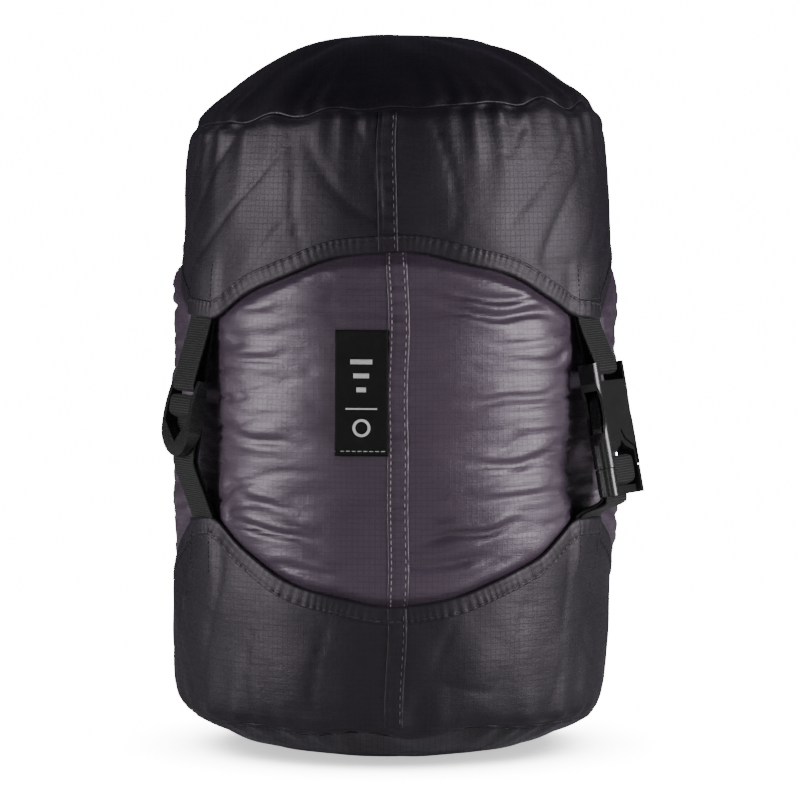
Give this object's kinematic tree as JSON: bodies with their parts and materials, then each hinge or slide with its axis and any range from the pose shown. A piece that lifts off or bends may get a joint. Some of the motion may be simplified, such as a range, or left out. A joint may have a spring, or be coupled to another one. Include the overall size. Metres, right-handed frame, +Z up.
{
  "type": "compression sack",
  "caption": "Filled compression sack standing upright, with an arched lid held down by straps that end in a side-release buckle and ladder locks.",
  "frame": {"origin": "centre of the flat patch that the filled sack rests on, on the sack's axis", "axes": "+Z up along the sack's axis, -Y to the front with the seam and the label, straps at -30, -150 and 90 degrees from +X"},
  "size_m": [0.2198, 0.2197, 0.3295],
  "materials": {
    "body_cloth": "coated ripstop with a soft sheen",
    "cap_cloth": "dark ripstop with a slight sheen",
    "webbing": "ribbed woven webbing",
    "label_weave": "woven satin label",
    "binding": "grosgrain tape",
    "cord": "braided cord",
    "buckle_plastic": "moulded with a fine grain",
    "spring_steel": "bright wire",
    "load": "soft clothing"
  },
  "bodies": {
    "sack": {"side_panel": "body_cloth", "side_seam_tape": "body_cloth", "size_label": "label_weave", "base_panel": "cap_cloth", "base_seam_binding": "binding", "bottom_cap": "cap_cloth", "bottom_cap_hem": "cap_cloth", "neck_collar": "body_cloth", "drawcord_channel": "body_cloth", "drawcord": "cord", "cord_lock_barrel": "buckle_plastic", "cord_lock_spring": "spring_steel", "packed_load": "load", "lower_strap_right": "webbing", "lower_strap_left": "webbing", "lower_strap_back": "webbing"},
    "lid": {"top_panel": "cap_cloth", "top_cap": "cap_cloth", "top_cap_hem": "cap_cloth", "top_seam_binding": "binding", "upper_strap_right": "webbing", "upper_strap_left": "webbing", "upper_strap_back": "webbing", "buckle_socket": "buckle_plastic"},
    "ladder_left": {"ladder_lock_left": "buckle_plastic"},
    "ladder_back": {"ladder_lock_back": "buckle_plastic"},
    "plug": {"buckle_plug": "buckle_plastic"},
    "prong_front": {"buckle_prong_front": "buckle_plastic"},
    "prong_rear": {"buckle_prong_rear": "buckle_plastic"},
    "cord_button": {"cord_lock_button": "buckle_plastic"}
  },
  "joints": [
    {"name": "lid_travel", "type": "slide", "parent": "sack", "child": "lid", "axis": [0, 0, 1], "range_m": [0, 0.05], "deforming": ["lower_strap_right", "lower_strap_left", "lower_strap_back"]},
    {"name": "ladder_left_lift", "type": "hinge", "parent": "lid", "child": "ladder_left", "pos_m": [-0.09319, -0.0538, 0.17103], "axis": [-0.5, 0.866, 0], "range_deg": [0, 35]},
    {"name": "ladder_back_lift", "type": "hinge", "parent": "lid", "child": "ladder_back", "pos_m": [0, 0.10761, 0.17103], "axis": [1, 0, 0], "range_deg": [0, 35]},
    {"name": "plug_release", "type": "slide", "parent": "lid", "child": "plug", "axis": [0.1652, -0.0954, -0.9816], "range_m": [0, 0.034]},
    {"name": "prong_front_press", "type": "hinge", "parent": "plug", "child": "prong_front", "pos_m": [0.09403, -0.0693, 0.13525], "axis": [-0.8501, 0.4908, -0.1908], "range_deg": [0, 5], "stiffness_Nm_per_rad": 0.3},
    {"name": "prong_rear_press", "type": "hinge", "parent": "plug", "child": "prong_rear", "pos_m": [0.10703, -0.04678, 0.13525], "axis": [0.8501, -0.4908, 0.1908], "range_deg": [0, 5], "stiffness_Nm_per_rad": 0.3},
    {"name": "cord_button_press", "type": "slide", "parent": "sack", "child": "cord_button", "axis": [0, 0, -1], "range_m": [0, 0.0025], "stiffness_N_per_m": 300, "deforming": ["cord_lock_spring"]}
  ],
  "couplings": [
    {"joint": "prong_rear_press", "follows": "prong_front_press", "ratio": 1}
  ]
}
